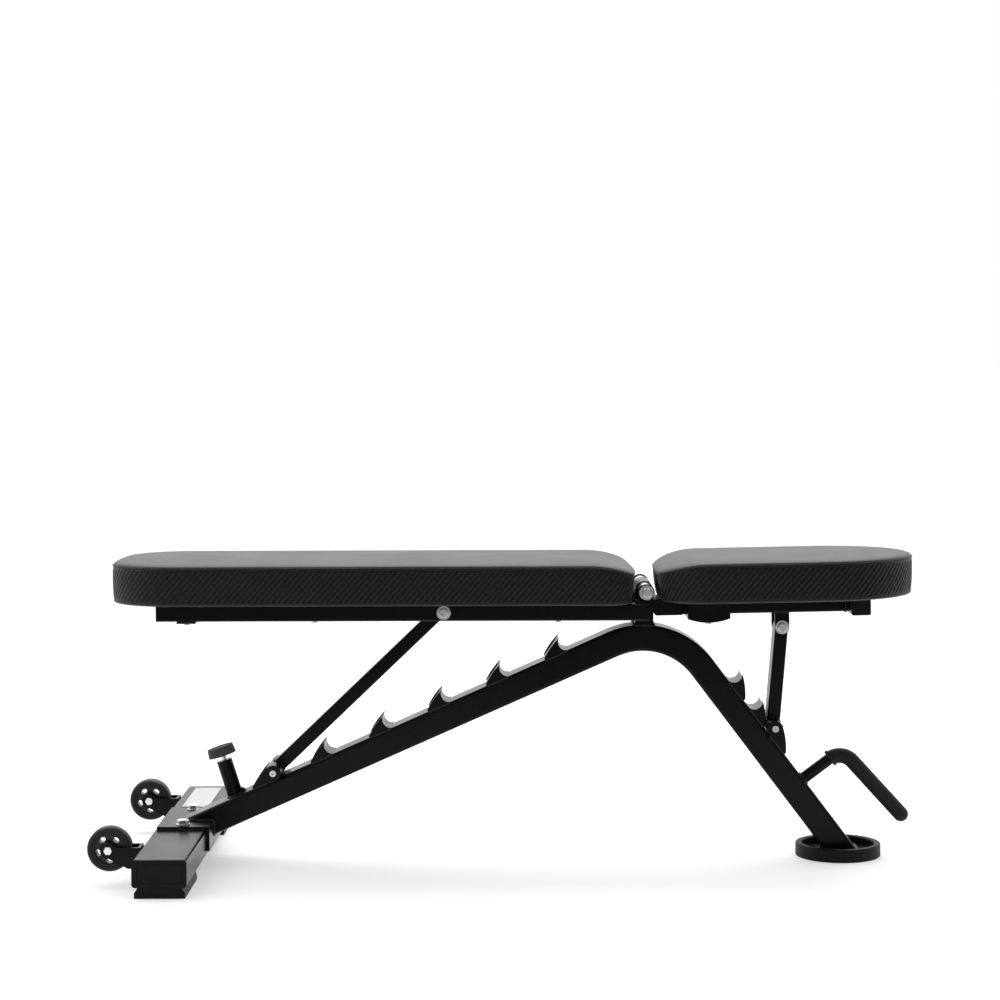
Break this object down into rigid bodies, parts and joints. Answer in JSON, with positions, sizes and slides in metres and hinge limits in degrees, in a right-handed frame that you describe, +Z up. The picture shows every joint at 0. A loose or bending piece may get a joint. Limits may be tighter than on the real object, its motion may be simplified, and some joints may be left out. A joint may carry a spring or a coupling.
{
  "type": "adjustable weight bench",
  "caption": "Adjustable weight bench: padded backrest and seat on a bent beam frame with notched props, a wide rear foot, transport wheels and a carrying handle.",
  "frame": {"origin": "on the floor under the middle of the outer box", "axes": "+X along the bench to the seat end, +Y to the user's left, +Z up"},
  "size_m": [1.2297, 0.596, 0.4715],
  "materials": {
    "powder_coat": "black satin powder coat",
    "vinyl": "black satin vinyl over foam",
    "board": "black painted board",
    "chrome": "polished plated fasteners",
    "pin_steel": "bright turned steel",
    "rubber": "black moulded rubber",
    "tyre": "black solid tyre",
    "hub": "black moulded plastic",
    "cap": "black moulded plastic",
    "grip": "black ribbed foam grip",
    "bumper": "grey moulded rubber",
    "plate": "satin blank plate"
  },
  "bodies": {
    "frame": {"rear_tube": "powder_coat", "rear_caps": "cap", "rear_feet": "rubber", "saddle_bracket": "powder_coat", "saddle_bolts": "chrome", "data_plate": "plate", "main_beam": "powder_coat", "back_hook_1": "powder_coat", "back_hook_2": "powder_coat", "back_hook_3": "powder_coat", "back_hook_4": "powder_coat", "back_hook_5": "powder_coat", "back_hook_6": "powder_coat", "seat_hook_1": "powder_coat", "seat_hook_2": "powder_coat", "seat_hook_3": "powder_coat", "hinge_post": "powder_coat", "hinge_axle": "chrome", "hinge_rings": "chrome", "foot_disc": "powder_coat", "foot_ring": "rubber", "carry_handle": "powder_coat", "handle_grip": "grip", "bumper_post": "powder_coat", "wheel_bracket_left": "powder_coat", "wheel_bracket_right": "powder_coat", "wheel_axles": "chrome"},
    "bumper": {"bumper_stud": "chrome", "bumper_head": "bumper"},
    "wheel_left": {"wheel_hub_left": "hub", "wheel_tyre_left": "tyre"},
    "wheel_right": {"wheel_hub_right": "hub", "wheel_tyre_right": "tyre"},
    "backrest": {"back_rail_left": "powder_coat", "back_rail_right": "powder_coat", "back_head_plate": "powder_coat", "back_cross_tube": "powder_coat", "back_hinge_ears": "powder_coat", "back_rail_plugs": "cap", "back_strut_bolt": "chrome", "back_pad_bolts": "chrome", "back_cushion": "vinyl", "back_board": "board"},
    "back_strut": {"back_strut_tube": "powder_coat", "back_strut_head": "powder_coat", "back_strut_foot": "powder_coat", "back_strut_pin": "pin_steel"},
    "seat_frame": {"seat_rail": "powder_coat", "seat_front_tube": "powder_coat", "seat_tube_plugs": "cap", "seat_saddle": "powder_coat", "seat_pad_bolts": "chrome", "seat_hinge_ears": "powder_coat", "seat_clevis": "powder_coat", "seat_strut_bolt": "chrome"},
    "seat_pad": {"seat_cushion": "vinyl", "seat_board": "board"},
    "seat_strut": {"seat_strut_tube": "powder_coat", "seat_strut_foot": "powder_coat", "seat_strut_pin": "pin_steel"}
  },
  "joints": [
    {"name": "back_hinge", "type": "hinge", "parent": "frame", "child": "backrest", "pos_m": [0.2055, 0, 0.4145], "axis": [0, 1, 0], "range_deg": [0, 72]},
    {"name": "back_strut_pivot", "type": "hinge", "parent": "backrest", "child": "back_strut", "pos_m": [-0.097, 0, 0.3865], "axis": [0, 1, 0], "range_deg": [-113, 0]},
    {"name": "seat_hinge", "type": "hinge", "parent": "frame", "child": "seat_frame", "pos_m": [0.2055, 0, 0.4145], "axis": [0, -1, 0], "range_deg": [0, 15.5]},
    {"name": "seat_strut_pivot", "type": "hinge", "parent": "seat_frame", "child": "seat_strut", "pos_m": [0.4156, 0, 0.3548], "axis": [0, -1, 0], "range_deg": [-14, 0]},
    {"name": "seat_pad_slide", "type": "slide", "parent": "seat_frame", "child": "seat_pad", "axis": [0.9998, 0, 0.0175], "range_m": [0, 0.0521]},
    {"name": "wheel_left_spin", "type": "hinge", "parent": "frame", "child": "wheel_left", "pos_m": [-0.5824, 0.1972, 0.0528], "axis": [0, 1, 0], "continuous": true},
    {"name": "wheel_right_spin", "type": "hinge", "parent": "frame", "child": "wheel_right", "pos_m": [-0.5824, -0.1972, 0.0528], "axis": [0, 1, 0], "continuous": true},
    {"name": "bumper_height", "type": "slide", "parent": "frame", "child": "bumper", "axis": [-0.2974, 0, 0.9548], "range_m": [-0.006, 0.01]}
  ],
  "couplings": [
    {"joint": "back_strut_pivot", "follows": "back_hinge", "ratio": -1.56},
    {"joint": "seat_strut_pivot", "follows": "seat_hinge", "ratio": -0.9},
    {"joint": "seat_pad_slide", "follows": "back_hinge", "m_per_rad": 0.04138}
  ]
}
